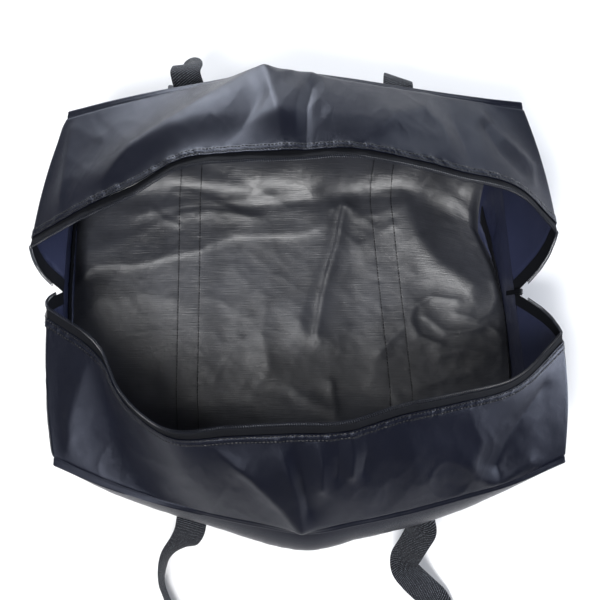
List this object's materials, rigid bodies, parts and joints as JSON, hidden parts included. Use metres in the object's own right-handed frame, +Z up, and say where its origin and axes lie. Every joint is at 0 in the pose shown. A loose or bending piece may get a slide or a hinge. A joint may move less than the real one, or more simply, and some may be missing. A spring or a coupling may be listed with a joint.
{
  "type": "tent pole bag",
  "caption": "Long soft box duffel of thin coated cloth for tent poles, standing empty with its top zip fully open, with webbing carrying loops on both sides.",
  "frame": {"origin": "middle of the underside of the base, on the floor that the bag stands on", "axes": "+X along the bag towards its right end, +Y towards the far side as the picture shows it, +Z up"},
  "size_m": [0.6354, 0.7818, 0.3032],
  "materials": {
    "cloth": "navy oxford weave outside, dark grey coating with a soft sheen inside",
    "webbing": "navy ribbed webbing",
    "zip_tape": "black woven tape",
    "zip_coil": "black nylon coil",
    "zip_slider": "black painted metal",
    "binding": "dark woven binding tape"
  },
  "bodies": {
    "root": {"body_panel": "cloth", "gusset_near": "cloth", "gusset_far": "cloth", "end_panel_left": "cloth", "end_panel_right": "cloth", "zip_tape_near": "zip_tape", "zip_tape_far": "zip_tape", "zip_coil_near": "zip_coil", "zip_coil_far": "zip_coil", "zip_slider": "zip_slider", "webbing_left": "webbing", "webbing_right": "webbing", "handle_near": "webbing", "handle_far": "webbing", "seam_binding_left": "binding", "seam_binding_right": "binding"}
  },
  "joints": []
}
